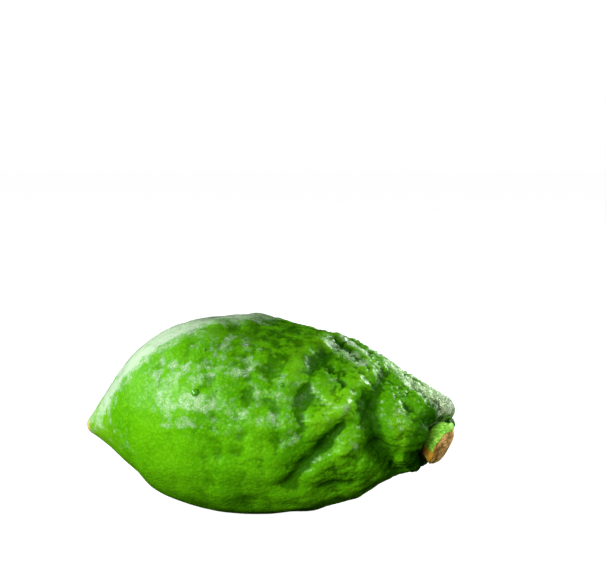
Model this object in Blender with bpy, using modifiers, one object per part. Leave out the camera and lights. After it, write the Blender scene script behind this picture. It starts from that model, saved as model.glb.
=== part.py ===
"""A green lemon lying on its side, with the stem button that it was cut with.

Metres, +Z up. The stem end points to +X and the nipple to -X. The origin is on the surface that the
lemon lies on, under the middle of its box.

The fruit is turned from an outline, raised into lumps and furrows along its normals, and then bent so
that its axis droops at both ends as the real one does. The stem button is turned the same way and
stands in the pit at the stem end.

A place on the skin is (distance along the axis from the nipple's tip, in mm; turn round the axis, in
degrees). A turn of 0 is the top, 90 is the side at -Y and 180 is underneath.
"""

import math

import bpy
import numpy as np
from mathutils import Vector, noise

MM = 0.001

# The fruit's outline: (distance along the axis, radius), in mm, from the nipple's tip into the pit
SCAR_RADIUS = 1.5
BELLY_RADIUS = 26.2
COLLAR_RADIUS = 11.8
RIM_AT = 96.4
PIT_FLOOR_AT = 93.2
PIT_RADIUS = 5.6
OUTLINE = [
    (0.0, 0.0),
    (0.15, SCAR_RADIUS),
    (3.3, 4.3),
    (8.7, 9.7),
    (13.7, 14.8),
    (18.8, 19.5),
    (27.6, 23.8),
    (38.5, BELLY_RADIUS),
    (50.0, BELLY_RADIUS),
    (62.0, 24.5),
    (72.0, 21.0),
    (79.0, 18.3),
    (85.7, 14.6),
    (91.0, COLLAR_RADIUS),
    (93.8, 10.9),
    (95.8, 9.8),
    (RIM_AT, 8.1),
    (96.1, 6.9),
    (95.2, 6.1),
    (93.8, PIT_RADIUS),
    (PIT_FLOOR_AT, 4.4),
    (PIT_FLOOR_AT, 0.0),
]
RINGS = 68
SIDES = 72

# The axis points below the horizon by DROOP and to -Y by SWERVE: (distance along it, degrees)
DROOP = [(0, -13), (20, -8), (35, -3.5), (50, 3.7), (62, 0.0), (75, 1.6), (85, 4.6), (RIM_AT, 22)]
SWERVE = [(0, 0), (75, 0), (88, 4), (RIM_AT, 20)]
AXIS_STEPS = np.arange(-5.0, 106.0, 0.5)

# Lumps all over the skin: (length along the axis, width round it, height at the nipple, height at the stem)
LUMPS = [
    (17.0, 12.0, 0.35, 1.4),
    (9.0, 6.0, 0.12, 1.0),
]
LUMPS_BEGIN_AT = 12.0
LUMPS_FULL_AT = 74.0

# Folds of the skin: (start, end, half width, height), where a furrow's height is below zero
FOLDS = [
    # the groove behind the collar
    ((83.5, 30), (80.2, 62), 2.8, -1.2),
    ((80.2, 62), (84.0, 100), 2.9, -1.6),
    ((84.0, 100), (88.0, 135), 2.9, -1.3),
    ((88.0, 135), (87.5, 200), 3.0, -0.8),
    # the lump that faces the side, and the furrow and ridge that run down from it
    ((79.0, 46), (74.8, 67), 3.4, 1.5),
    ((74.8, 67), (69.8, 79), 3.0, 1.0),
    ((74.5, 84), (70.5, 99), 2.5, -1.3),
    ((70.5, 99), (61.0, 122), 2.7, -1.2),
    ((78.0, 93), (67.4, 116), 3.4, 1.0),
    ((77.0, 132), (69.5, 129), 2.6, -0.7),
    # the shallower ones towards the belly
    ((70.5, 42), (74.0, 53), 3.0, -0.8),
    ((66.0, 42), (65.3, 82), 2.3, -1.0),
    ((63.8, 40), (62.0, 64), 3.0, 0.7),
    ((58.0, 78), (59.0, 98), 2.2, -0.5),
    ((51.0, 70), (50.0, 100), 2.2, -0.4),
    ((44.0, 20), (43.0, 60), 3.0, -0.4),
    # the long ridges along the top of the neck
    ((67.5, 24), (75.5, 38), 1.7, 0.7),
    ((70.0, 2), (80.5, 26), 1.7, 0.7),
    ((74.0, -10), (81.0, 6), 1.7, 0.6),
    ((75.7, 33), (83.0, 38), 1.6, 0.5),
    # the round lobe of the collar that faces the side
    ((88.5, 60), (88.0, 88), 3.8, 0.9),
    # a hollow and a swelling along the top
    ((54.0, -25), (53.0, 25), 5.0, -0.8),
    ((66.5, -20), (66.5, 20), 3.0, 0.5),
    # the waist of the nipple
    ((18.5, 55), (15.5, 150), 2.8, -0.35),
]

# Creases that run out of the pit and over its rim: (turn, depth)
CREASES = [(18, 1.1), (52, 1.1), (112, 0.9), (150, 0.6), (190, 0.7), (228, 0.9), (264, 1.0), (300, 1.1), (338, 1.0)]
FOLDS += [((90.0, turn), (97.0, turn), 1.7, -depth) for turn, depth in CREASES]

# The skin is pressed flat where the lemon lies on it, and is smoother round there
LIES_AT = (46.0, 180)
PRESSED_SPREAD = 11.0
PRESSED_DEPTH = 0.40

# The stem button's outline: (height above its root, radius), in mm, from the root to the cut face
BUTTON_RADIUS = 5.6
BUTTON_OUTLINE = [
    (0.0, 0.0),
    (0.0, 2.4),
    (0.5, 3.9),
    (1.5, 4.7),
    (2.6, 5.0),
    (3.6, 5.3),
    (4.4, BUTTON_RADIUS),
    (5.0, 5.4),
    (5.6, 4.7),
    (6.0, 3.4),
    (6.2, 1.7),
    (6.2, 0.0),
]
BUTTON_RINGS = 20
BUTTON_SIDES = 34
BUTTON_DROOP = 37
BUTTON_SWERVE = 14
BUTTON_LOBES = 5
BUTTON_LOBE_HEIGHT = 0.3
CUT_SLANT = math.radians(13)
ROOT_GAP = 0.98
ROOT_RAISE = 0.7


def eased(low, high, at):
    """0 below low, 1 above high, and a smooth step between them."""
    share = np.clip((at - low) / (high - low), 0.0, 1.0)
    return share * share * (3 - 2 * share)


def spread_outline(points, count):
    """Points along a Catmull-Rom curve through an outline's points, closer together where it is narrow."""
    points = [np.array(p, float) for p in points]
    ends = [2 * points[0] - points[1], *points, 2 * points[-1] - points[-2]]
    dense = []
    for before, start, end, after in zip(ends, ends[1:], ends[2:], ends[3:]):
        for t in np.linspace(0, 1, 24, endpoint=False):
            pull = 2 * before - 5 * start + 4 * end - after
            turn_in = 3 * start - before - 3 * end + after
            dense.append(start + ((end - before) * t + pull * t ** 2 + turn_in * t ** 3) / 2)
    dense = np.array([*dense, points[-1]])
    widest = dense[:, 1].max()
    weight = 1 / (0.4 * widest + (dense[1:, 1] + dense[:-1, 1]) / 2)
    run = np.concatenate([[0], np.cumsum(np.linalg.norm(np.diff(dense, axis=0), axis=1) * weight)])
    even = np.linspace(0, run[-1], count)
    return np.column_stack([np.interp(even, run, column) for column in dense.T])


def turned(name, outline, sides):
    """A closed mesh object turned round Z from an outline of (height, radius), in mm."""
    mesh = bpy.data.meshes.new(name)
    # A Screw profile runs down its outer side, so the outline is taken from its far end.
    path = [(max(radius, 0.0), 0, height) for height, radius in outline[::-1]]
    mesh.from_pydata(path, [(i, i + 1) for i in range(len(path) - 1)], [])
    obj = bpy.data.objects.new(name, mesh)
    bpy.context.scene.collection.objects.link(obj)
    screw = obj.modifiers.new("turn", "SCREW")
    screw.steps = screw.render_steps = sides
    screw.use_merge_vertices = True
    screw.merge_threshold = 0.0001
    graph = bpy.context.evaluated_depsgraph_get()
    obj.data = bpy.data.meshes.new_from_object(obj.evaluated_get(graph))
    obj.modifiers.clear()
    obj.data.name = name
    bpy.data.meshes.remove(mesh)
    return obj


def points_of(mesh):
    points = np.empty(len(mesh.vertices) * 3, np.float32)
    mesh.vertices.foreach_get("co", points)
    return points.reshape(-1, 3).astype(float)


def normals_of(mesh):
    return np.array([v.normal for v in mesh.vertices], float)


def pointing(droop, swerve):
    """Directions that point below the horizon by droop and to -Y by swerve, in degrees, as rows."""
    droop, swerve = np.radians(droop), np.radians(swerve)
    return np.column_stack([np.cos(droop) * np.cos(swerve), -np.cos(droop) * np.sin(swerve), -np.sin(droop)])


def set_in(points, centre, forwards):
    """Points of a form turned round Z, set on a centre with Z along forwards and X as far up as it can be."""
    up = np.array([0, 0, 1]) - forwards * forwards[:, 2:]
    up /= np.linalg.norm(up, axis=1)[:, None]
    sideways = np.cross(forwards, up)
    return centre + up * points[:, :1] + sideways * points[:, 1:2] + forwards * points[:, 2:]


def forwards_at(at):
    return pointing(np.interp(at, *zip(*DROOP)), np.interp(at, *zip(*SWERVE)))


def axis_at(at):
    """Points of the fruit's bent axis at distances along it, in mm."""
    middles = (AXIS_STEPS[1:] + AXIS_STEPS[:-1]) / 2
    strides = forwards_at(middles) * np.diff(AXIS_STEPS)[:, None]
    line = np.concatenate([[[0, 0, 0]], np.cumsum(strides, axis=0)])
    return np.column_stack([np.interp(at, AXIS_STEPS, column) for column in line.T])


def bent(points):
    """Points of the straight turned form, in mm, carried to the bent axis."""
    at = points[:, 2]
    return set_in(points * [1, 1, 0], axis_at(at), forwards_at(at))


def distance_to(start, end, at, turn, radius):
    """Distances over the skin to the line between two places, in mm."""
    along = end[0] - start[0]
    across = np.radians(end[1] - start[1]) * radius
    off = turn - math.radians(start[1])
    off = (np.mod(off + math.pi, 2 * math.pi) - math.pi) * radius
    share = ((at - start[0]) * along + off * across) / np.maximum(along ** 2 + across ** 2, 0.01)
    share = np.clip(share, 0.0, 1.0)
    return np.hypot(at - start[0] - share * along, off - share * across)


def relief(at, turn, radius):
    """How far the skin stands out of the turned form, in mm."""
    height = np.zeros(len(at))
    growth = eased(LUMPS_BEGIN_AT, LUMPS_FULL_AT, at)
    for number, (long, wide, smooth_end, rough_end) in enumerate(LUMPS):
        across, up = radius * np.sin(turn) / wide, radius * np.cos(turn) / wide
        spots = np.column_stack([at / long, up, across + 20 * number])
        rise = np.array([noise.noise(Vector(spot)) for spot in spots])
        height += rise * (smooth_end + (rough_end - smooth_end) * growth)
    for start, end, half_width, fold_height in FOLDS:
        distance = distance_to(start, end, at, turn, radius)
        height += fold_height * np.exp(-(distance / half_width) ** 2)
    in_the_pit = (at > PIT_FLOOR_AT - 3) * (1 - eased(PIT_RADIUS + 0.4, PIT_RADIUS + 2.8, radius))
    pressed = np.exp(-(distance_to(LIES_AT, LIES_AT, at, turn, radius) / PRESSED_SPREAD) ** 2)
    return height * eased(0.3, 6.0, at) * (1 - in_the_pit) * (1 - pressed)


def fruit_points(mesh):
    points = points_of(mesh)
    at, radius = points[:, 2], np.hypot(points[:, 0], points[:, 1])
    turn = np.arctan2(points[:, 1], points[:, 0])
    points = bent(points + normals_of(mesh) * relief(at, turn, radius)[:, None])
    points[:, 2] = np.maximum(points[:, 2], points[:, 2].min() + PRESSED_DEPTH)
    return points


def button_points(mesh):
    points = points_of(mesh)
    turn = np.arctan2(points[:, 1], points[:, 0])
    flare = eased(2.0, 4.5, points[:, 2])
    swell = BUTTON_LOBE_HEIGHT * np.cos(BUTTON_LOBES * turn) * flare / BUTTON_RADIUS
    points[:, 2] -= points[:, 0] * math.tan(CUT_SLANT) * flare
    points[:, :2] *= (1 + swell)[:, None]
    points[:, 0] += ROOT_RAISE
    root = axis_at([PIT_FLOOR_AT + ROOT_GAP])
    return set_in(points, root, pointing([BUTTON_DROOP], [BUTTON_SWERVE]))


def make_material(name, colour, roughness):
    material = bpy.data.materials.new(name)
    material.use_nodes = True
    surface = material.node_tree.nodes["Principled BSDF"]
    surface.inputs["Base Color"].default_value = (*colour, 1)
    surface.inputs["Roughness"].default_value = roughness
    material.diffuse_color = (*colour, 1)
    return material


def main():
    for old in list(bpy.data.objects):
        bpy.data.objects.remove(old)
    lemon = bpy.data.collections.new("lemon")
    bpy.context.scene.collection.children.link(lemon)

    fruit = turned("fruit", spread_outline(OUTLINE, RINGS), SIDES)
    button = turned("stem_button", spread_outline(BUTTON_OUTLINE, BUTTON_RINGS), BUTTON_SIDES)
    places = {fruit: fruit_points(fruit.data), button: button_points(button.data)}
    everything = np.concatenate(list(places.values()))
    low, high = everything.min(axis=0), everything.max(axis=0)
    origin = np.array([(low[0] + high[0]) / 2, (low[1] + high[1]) / 2, low[2]])
    for obj, points in places.items():
        obj.data.vertices.foreach_set("co", ((points - origin) * MM).astype(np.float32).ravel())
        obj.data.shade_smooth()
        lemon.objects.link(obj)
        bpy.context.scene.collection.objects.unlink(obj)
    fruit.data.materials.append(make_material("green_rind", (0.09, 0.34, 0.01), 0.38))
    button.data.materials.append(make_material("stem", (0.15, 0.24, 0.04), 0.7))


main()
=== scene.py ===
# %% [markdown]
# # A green lemon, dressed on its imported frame
# The frame holds two plain solids: the fruit and the stem button it was cut with. They have the right
# size and the right large lumps, but no skin. This lesson grows a finer skin on each of them, gives it a
# rind, bark and cut wood from shader nodes, and wets it with drops. Everything is in metres in the end,
# while the rules of the form are kept in millimetres, because that is how one measures a lemon.

# %% Load the frame
import math

import bmesh
import bpy
import numpy as np
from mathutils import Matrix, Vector, noise


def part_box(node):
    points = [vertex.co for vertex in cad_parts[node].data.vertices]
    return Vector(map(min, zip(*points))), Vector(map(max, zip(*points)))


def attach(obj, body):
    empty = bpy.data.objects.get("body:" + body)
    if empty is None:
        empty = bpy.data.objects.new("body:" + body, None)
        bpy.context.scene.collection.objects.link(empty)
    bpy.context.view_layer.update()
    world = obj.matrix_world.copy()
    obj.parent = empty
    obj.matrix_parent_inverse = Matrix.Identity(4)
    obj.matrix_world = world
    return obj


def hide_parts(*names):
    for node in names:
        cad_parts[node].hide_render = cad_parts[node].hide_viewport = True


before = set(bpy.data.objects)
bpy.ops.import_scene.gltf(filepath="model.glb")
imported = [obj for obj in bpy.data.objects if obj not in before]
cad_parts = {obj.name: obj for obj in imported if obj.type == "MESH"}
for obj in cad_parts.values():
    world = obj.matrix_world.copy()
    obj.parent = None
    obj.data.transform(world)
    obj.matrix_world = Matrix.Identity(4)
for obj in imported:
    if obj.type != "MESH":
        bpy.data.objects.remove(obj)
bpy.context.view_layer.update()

fruit_low, fruit_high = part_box("fruit")
button_low, button_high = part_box("stem_button")
MM = 0.001
print("stem button's box in mm:", [round(v / MM, 1) for v in button_high - button_low])

# %% [markdown]
# ## The camera
# The photograph looks at the lemon from its side, a little from the stem end and a little from above.
# The lemon lies low and to the left in the picture, so the camera stands square to the lemon but is
# turned towards a point above it and to its right, which leaves the lens unshifted.

# %% Camera
VIEW_AZIMUTH, VIEW_ELEVATION = 14, 11
VIEW_DISTANCE = 383.1 * MM
LENS = 85
AIM_RIGHT, AIM_UP = 10.22 * MM, 35.46 * MM


def way_to(azimuth, elevation):
    """A direction seen from the lemon, in degrees; azimuth 0 is its -Y side and grows to +X."""
    turn, lift = math.radians(azimuth), math.radians(elevation)
    return Vector((math.sin(turn) * math.cos(lift), -math.cos(turn) * math.cos(lift), math.sin(lift)))


middle = (fruit_low + fruit_high) / 2
towards_camera, image_right = way_to(VIEW_AZIMUTH, VIEW_ELEVATION), way_to(VIEW_AZIMUTH + 90, 0)
image_up = towards_camera.cross(image_right)


def added(name, data):
    """An object for a mesh, a light or a camera, linked to the scene."""
    obj = bpy.data.objects.new(name, data)
    bpy.context.scene.collection.objects.link(obj)
    return obj


camera = added("camera", bpy.data.cameras.new("camera"))
camera.data.lens = LENS
camera.location = middle + towards_camera * VIEW_DISTANCE
aim = middle + image_right * AIM_RIGHT + image_up * AIM_UP
camera.rotation_euler = (aim - camera.location).to_track_quat("-Z", "Y").to_euler()
bpy.context.scene.camera = camera
print("camera at", [round(v, 3) for v in camera.location])

# %% [markdown]
# ## The form
# A lemon is nearly a turned thing, so its rule is an outline that turns round an axis, and an axis that
# bends. The two ends are named first: the nipple's scar, then the belly, the collar and the pit that the
# stem button sits in. These are the same values that the frame's solid was made from. A place on the
# skin is a distance along the axis from the nipple's tip, in mm, and a turn round the axis, in degrees:
# 0 is the top, 90 faces the camera's side and 180 lies on the floor.

# %% The fruit's outline and axis
SCAR_RADIUS = 1.5
BELLY_RADIUS = 26.2
COLLAR_RADIUS = 11.8
RIM_AT, RIM_RADIUS = 96.4, 8.1
PIT_FLOOR_AT = 93.2
PIT_RADIUS = 5.6
OUTLINE = [
    (0.0, 0.0), (0.15, SCAR_RADIUS), (3.3, 4.3), (8.7, 9.7), (13.7, 14.8), (18.8, 19.5), (27.6, 23.8),
    (38.5, BELLY_RADIUS), (50.0, BELLY_RADIUS), (62.0, 24.5), (72.0, 21.0), (79.0, 18.3), (85.7, 14.6),
    (91.0, COLLAR_RADIUS), (93.8, 10.9), (95.8, 9.8), (RIM_AT, RIM_RADIUS), (96.1, 6.9), (95.2, 6.1),
    (93.8, PIT_RADIUS), (PIT_FLOOR_AT, 4.4), (PIT_FLOOR_AT, 0.0),
]
# How far the axis points below the horizon and to the camera's side, in degrees, at distances along it.
DROOP = [(0, -13), (20, -8), (35, -3.5), (50, 3.7), (62, 0.0), (75, 1.6), (85, 4.6), (RIM_AT, 22)]
SWERVE = [(0, 0), (75, 0), (88, 4), (RIM_AT, 20)]
AXIS_STEPS = np.arange(-5.0, 106.0, 0.5)
CURVE_STEPS = 24
NARROW_CARE = 0.4


def eased(low, high, at):
    """0 below low, 1 above high, and a smooth step between them."""
    share = np.clip((at - low) / (high - low), 0.0, 1.0)
    return share * share * (3 - 2 * share)


def spread_outline(points, count):
    """Points along a Catmull-Rom curve through an outline's points, closer together where it is narrow."""
    points = [np.array(p, float) for p in points]
    ends = [2 * points[0] - points[1], *points, 2 * points[-1] - points[-2]]
    dense = []
    for before, start, end, after in zip(ends, ends[1:], ends[2:], ends[3:]):
        for t in np.linspace(0, 1, CURVE_STEPS, endpoint=False):
            pull = 2 * before - 5 * start + 4 * end - after
            turn_in = 3 * start - before - 3 * end + after
            dense.append(start + ((end - before) * t + pull * t ** 2 + turn_in * t ** 3) / 2)
    dense = np.array([*dense, points[-1]])
    widest = dense[:, 1].max()
    weight = 1 / (NARROW_CARE * widest + (dense[1:, 1] + dense[:-1, 1]) / 2)
    run = np.concatenate([[0], np.cumsum(np.linalg.norm(np.diff(dense, axis=0), axis=1) * weight)])
    even = np.linspace(0, run[-1], count)
    return np.column_stack([np.interp(even, run, column) for column in dense.T])


def pointing(droop, swerve):
    """Directions that point below the horizon by droop and to -Y by swerve, in degrees, as rows."""
    droop, swerve = np.radians(droop), np.radians(swerve)
    return np.column_stack([np.cos(droop) * np.cos(swerve), -np.cos(droop) * np.sin(swerve), -np.sin(droop)])


def set_in(points, centre, forwards):
    """Points of a form turned round Z, set on a centre with Z along forwards and X as far up as it can be."""
    up = np.array([0, 0, 1]) - forwards * forwards[:, 2:]
    up /= np.linalg.norm(up, axis=1)[:, None]
    sideways = np.cross(forwards, up)
    return centre + up * points[:, :1] + sideways * points[:, 1:2] + forwards * points[:, 2:]


def forwards_at(at):
    return pointing(np.interp(at, *zip(*DROOP)), np.interp(at, *zip(*SWERVE)))


def axis_at(at):
    """Points of the fruit's bent axis at distances along it, in mm."""
    middles = (AXIS_STEPS[1:] + AXIS_STEPS[:-1]) / 2
    strides = forwards_at(middles) * np.diff(AXIS_STEPS)[:, None]
    line = np.concatenate([[[0, 0, 0]], np.cumsum(strides, axis=0)])
    return np.column_stack([np.interp(at, AXIS_STEPS, column) for column in line.T])


def bent(points):
    """Points of the straight turned form, in mm, carried to the bent axis."""
    at = points[:, 2]
    return set_in(points * [1, 1, 0], axis_at(at), forwards_at(at))


print("axis length in mm:", RIM_AT, "belly across in mm:", 2 * BELLY_RADIUS)

# %% [markdown]
# ## The lumps and folds
# Citrus rind swells between furrows. The broad lumps come from noise that grows towards the stem, and
# the folds that one can point at in the photograph are placed one by one, each a soft ridge or furrow
# along a line between two places on the skin.

# %% Relief of the solid
# Lumps from noise: length, width, height near the nipple and height near the stem, in mm.
LUMPS = [
    (17.0, 12.0, 0.35, 1.4),
    (9.0, 6.0, 0.12, 1.0),
]
LUMPS_APART = 20
LUMPS_GROW = (12.0, 74.0)
# Folds: the places where the line starts and ends, its half width and its height in mm.
FOLDS = [
    # the groove behind the collar
    ((83.5, 30), (80.2, 62), 2.8, -1.2),
    ((80.2, 62), (84.0, 100), 2.9, -1.6),
    ((84.0, 100), (88.0, 135), 2.9, -1.3),
    ((88.0, 135), (87.5, 200), 3.0, -0.8),
    # the lump that faces the side, and the furrow and ridge that run down from it
    ((79.0, 46), (74.8, 67), 3.4, 1.5),
    ((74.8, 67), (69.8, 79), 3.0, 1.0),
    ((74.5, 84), (70.5, 99), 2.5, -1.3),
    ((70.5, 99), (61.0, 122), 2.7, -1.2),
    ((78.0, 93), (67.4, 116), 3.4, 1.0),
    ((77.0, 132), (69.5, 129), 2.6, -0.7),
    # the shallower ones towards the belly
    ((70.5, 42), (74.0, 53), 3.0, -0.8),
    ((66.0, 42), (65.3, 82), 2.3, -1.0),
    ((63.8, 40), (62.0, 64), 3.0, 0.7),
    ((58.0, 78), (59.0, 98), 2.2, -0.5),
    ((51.0, 70), (50.0, 100), 2.2, -0.4),
    ((44.0, 20), (43.0, 60), 3.0, -0.4),
    # the long ridges along the top of the neck
    ((67.5, 24), (75.5, 38), 1.7, 0.7),
    ((70.0, 2), (80.5, 26), 1.7, 0.7),
    ((74.0, -10), (81.0, 6), 1.7, 0.6),
    ((75.7, 33), (83.0, 38), 1.6, 0.5),
    # the round lobe of the collar that faces the side
    ((88.5, 60), (88.0, 88), 3.8, 0.9),
    # a hollow and a swelling along the top
    ((54.0, -25), (53.0, 25), 5.0, -0.8),
    ((66.5, -20), (66.5, 20), 3.0, 0.5),
    # the waist of the nipple
    ((18.5, 55), (15.5, 150), 2.8, -0.35),
]
# the creases of the collar: their turn and depth
CREASES = [(18, 1.1), (52, 1.1), (112, 0.9), (150, 0.6), (190, 0.7)]
CREASES += [(228, 0.9), (264, 1.0), (300, 1.1), (338, 1.0)]
FOLDS += [((90.0, turn), (97.0, turn), 1.7, -depth) for turn, depth in CREASES]
# the sharp bottoms of the deepest furrows, too narrow for the plain solid
SHARP_FOLDS = [
    ((83.2, 38), (82.0, 62), 1.5, -0.70), ((82.0, 62), (85.2, 100), 1.7, -0.95),
    ((85.2, 100), (88.5, 135), 1.5, -0.75), ((74.5, 84), (70.5, 99), 1.1, -0.60),
    ((70.5, 99), (61.0, 122), 1.1, -0.55), ((77.0, 132), (69.5, 129), 1.0, -0.35),
    ((70.5, 42), (74.0, 53), 1.0, -0.40), ((66.5, 46), (65.3, 82), 1.1, -0.25),
    ((74.0, 53), (79.0, 58), 0.9, -0.35), ((69.0, 8), (78.0, 30), 0.8, -0.40),
    ((72.0, 33), (83.0, 46), 0.8, -0.35),
]
SCAR_BLEND = (0.3, 6.0)
PIT_BLEND = (PIT_RADIUS + 0.4, PIT_RADIUS + 2.8)
PIT_REACH = 3
LIES_AT = (46.0, 180)
PRESSED_SPREAD = 11.0
PRESSED_DEPTH = 0.40
SHORTEST_LINE = 0.01


def distance_to(start, end, at, turn, radius):
    """Distances over the skin to the line between two places, in mm."""
    along = end[0] - start[0]
    across = np.radians(end[1] - start[1]) * radius
    off = turn - math.radians(start[1])
    off = (np.mod(off + math.pi, 2 * math.pi) - math.pi) * radius
    share = ((at - start[0]) * along + off * across) / np.maximum(along ** 2 + across ** 2, SHORTEST_LINE)
    share = np.clip(share, 0.0, 1.0)
    return np.hypot(at - start[0] - share * along, off - share * across)


def relief(at, turn, radius):
    """How far the skin stands out of the turned form, in mm."""
    height = np.zeros(len(at))
    growth = eased(*LUMPS_GROW, at)
    for number, (long, wide, smooth_end, rough_end) in enumerate(LUMPS):
        across, up = radius * np.sin(turn) / wide, radius * np.cos(turn) / wide
        spots = np.column_stack([at / long, up, across + LUMPS_APART * number])
        rise = np.array([noise.noise(Vector(spot)) for spot in spots])
        height += rise * (smooth_end + (rough_end - smooth_end) * growth)
    for start, end, half_width, fold_height in FOLDS + SHARP_FOLDS:
        distance = distance_to(start, end, at, turn, radius)
        height += fold_height * np.exp(-(distance / half_width) ** 2)
    in_the_pit = (at > PIT_FLOOR_AT - PIT_REACH) * (1 - eased(*PIT_BLEND, radius))
    pressed = np.exp(-(distance_to(LIES_AT, LIES_AT, at, turn, radius) / PRESSED_SPREAD) ** 2)
    return height * eased(*SCAR_BLEND, at) * (1 - in_the_pit) * (1 - pressed)


print(len(FOLDS), "folds placed")

# %% [markdown]
# ## A fine skin for the fruit
# A Screw modifier turns the outline into a mesh whose rings and sides are fine enough to hold small
# pebbles. Every point is then raised by the relief, bent with the axis and pressed flat where the lemon
# lies. Four values are kept on the points for later: how far along the fruit a point is, how high it
# stands, how strong the wax bloom and painted sheen are there and how near the pit it is, because the rind
# is rougher towards the stem, has painted shade in its furrows and in the pit, and is pale where the bloom
# and painted sheen are.

# %% Turned meshes
FRUIT_RINGS = 250
FRUIT_SIDES = 384
MERGE_WITHIN = 0.0001


def turned(name, outline, sides):
    """A closed mesh object turned round Z from an outline of (height, radius), in mm."""
    mesh = bpy.data.meshes.new(name)
    # A Screw profile runs down its outer side, so the outline is taken from its far end.
    path = [(max(radius, 0.0), 0, height) for height, radius in outline[::-1]]
    mesh.from_pydata(path, [(i, i + 1) for i in range(len(path) - 1)], [])
    obj = added(name, mesh)
    screw = obj.modifiers.new("turn", "SCREW")
    screw.steps = screw.render_steps = sides
    screw.use_merge_vertices = True
    screw.merge_threshold = MERGE_WITHIN
    graph = bpy.context.evaluated_depsgraph_get()
    obj.data = bpy.data.meshes.new_from_object(obj.evaluated_get(graph))
    obj.modifiers.clear()
    obj.data.name = name
    bpy.data.meshes.remove(mesh)
    return obj


def points_and_normals(mesh):
    """A mesh's points and their normals, as rows."""
    rows = []
    for items, name in ((mesh.vertices, "co"), (mesh.vertex_normals, "vector")):
        values = np.empty(len(items) * 3, np.float32)
        items.foreach_get(name, values)
        rows.append(values.reshape(-1, 3).astype(float))
    return rows


def smooth_faces(mesh):
    mesh.polygons.foreach_set("use_smooth", [True] * len(mesh.polygons))


def move_points(mesh, points, origin):
    """Put a mesh's points at places given in mm from an origin, and shade its faces smooth."""
    mesh.vertices.foreach_set("co", ((points - origin) * MM).astype(np.float32).ravel())
    smooth_faces(mesh)
    mesh.update()


def keep_on_points(mesh, name, values):
    attribute = mesh.attributes.new(name, "FLOAT", "POINT")
    attribute.data.foreach_set("value", np.asarray(values, np.float32))


# %% The fruit
# Places where wax bloom with a painted sheen makes the rind pale grey: start, end, half width in mm,
# strength.
BLOOM_AND_PAINTED_SHEEN = [
    # the shoulder over the nipple: bloom and a band of painted sheen
    ((5.0, 18), (11.0, 30), 7.0, 0.58),
    ((11.0, 30), (20.0, 19), 9.5, 0.86),
    ((20.0, 19), (30.0, 6), 11.0, 1.00),
    ((30.0, 6), (42.0, -8), 11.0, 0.86),
    # a faint haze of painted sheen under the nipple's shoulder
    ((9.0, 88), (15.0, 100), 5.5, 0.28),
    # painted highlights in spots on the flank
    ((28.6, 54), (38.0, 57), 5.0, 0.60),
    ((29.3, 73), (41.1, 75), 3.2, 0.62),
    ((30.5, 84), (36.6, 84), 2.6, 0.50),
    ((46.1, 74), (49.7, 78), 2.6, 0.50),
    ((53.3, 70), (64.6, 68), 3.0, 0.40),
    ((55.7, 81), (61.2, 79), 2.2, 0.50),
    ((61.5, 92), (63.0, 90), 2.2, 0.50),
    ((42.8, 51), (49.5, 53), 4.5, 0.42),
    ((51.0, 55), (60.5, 58), 4.0, 0.38),
    ((38.5, 36), (49.0, 36), 4.5, 0.38),
    ((42.0, 86), (50.0, 88), 2.6, 0.32),
    # painted highlights on the crowns of the lumps
    ((71.8, 75), (75.4, 71), 2.0, 0.45),
    ((76.5, 98), (77.5, 96), 2.0, 0.45),
    ((87.6, 62), (88.5, 76), 2.6, 0.40),
    # the scaly top of the neck, with bloom and painted sheen
    ((68.7, 20), (76.8, 27), 2.6, 0.80),
    ((71.5, 2), (77.5, 12), 2.4, 0.85),
    ((76.8, 27), (82.0, 36), 1.5, 0.45),
    ((80.0, 4), (88.0, 15), 3.4, 0.68),
    ((88.0, 14), (95.5, 8), 3.6, 1.00),
    ((94.5, 8), (96.4, -35), 3.0, 0.90),
    ((74.0, -25), (95.0, -20), 6.0, 0.75),
]
THINNING_TURNS = (-34, -7)
THINNING_BEFORE = (50.0, 62.0)
THINNING_SHARE = 0.75
PIT_SHADE = (5.0, 9.5)
PIT_LIP, PIT_SLOPE = 1, 4


def bloom(at, turn, radius):
    """How strong the bloom and painted sheen are, from 0 to 1."""
    most = np.zeros(len(at))
    for start, end, half_width, strength in BLOOM_AND_PAINTED_SHEEN:
        distance = distance_to(start, end, at, turn, radius)
        most = np.maximum(most, strength * np.exp(-(distance / half_width) ** 4))
    # The shoulder's bloom and painted sheen thin out over the top.
    thinned = (1 - eased(*np.radians(THINNING_TURNS), turn)) * (1 - eased(*THINNING_BEFORE, at))
    return most * (1 - THINNING_SHARE * thinned)


def fine_fruit():
    fruit = turned("rind", spread_outline(OUTLINE, FRUIT_RINGS), FRUIT_SIDES)
    straight, normals = points_and_normals(fruit.data)
    at, radius = straight[:, 2], np.hypot(straight[:, 0], straight[:, 1])
    turn = np.arctan2(straight[:, 1], straight[:, 0])
    rise = relief(at, turn, radius)
    points = bent(straight + normals * rise[:, None])
    points[:, 2] = np.maximum(points[:, 2], points[:, 2].min() + PRESSED_DEPTH)
    low, high = points.min(axis=0), points.max(axis=0)
    # The frame's fruit says where the tip, the middle and the floor are.
    origin = np.array([
        low[0] - fruit_low.x / MM,
        (low[1] + high[1]) / 2 - (fruit_low.y + fruit_high.y) / 2 / MM,
        low[2],
    ])
    move_points(fruit.data, points, origin)
    keep_on_points(fruit.data, "along", at / RIM_AT)
    keep_on_points(fruit.data, "rise", rise)
    keep_on_points(fruit.data, "bloom", bloom(at, turn, radius))
    before_pit = np.maximum(PIT_FLOOR_AT - PIT_LIP - at, 0)
    keep_on_points(fruit.data, "pit", 1 - eased(*PIT_SHADE, radius + PIT_SLOPE * before_pit))
    return fruit, origin


rind, origin = fine_fruit()
print("rind:", len(rind.data.polygons), "faces; origin in mm:", origin.round(2))

# %% [markdown]
# ## Small helpers for node trees
# Geometry trees and shader trees share their Math, Noise and Voronoi nodes. A few short functions make
# them, so that a tree below reads like the rule that it holds: each takes numbers or other nodes' outputs
# and gives back the output of the node that it made.

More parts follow.
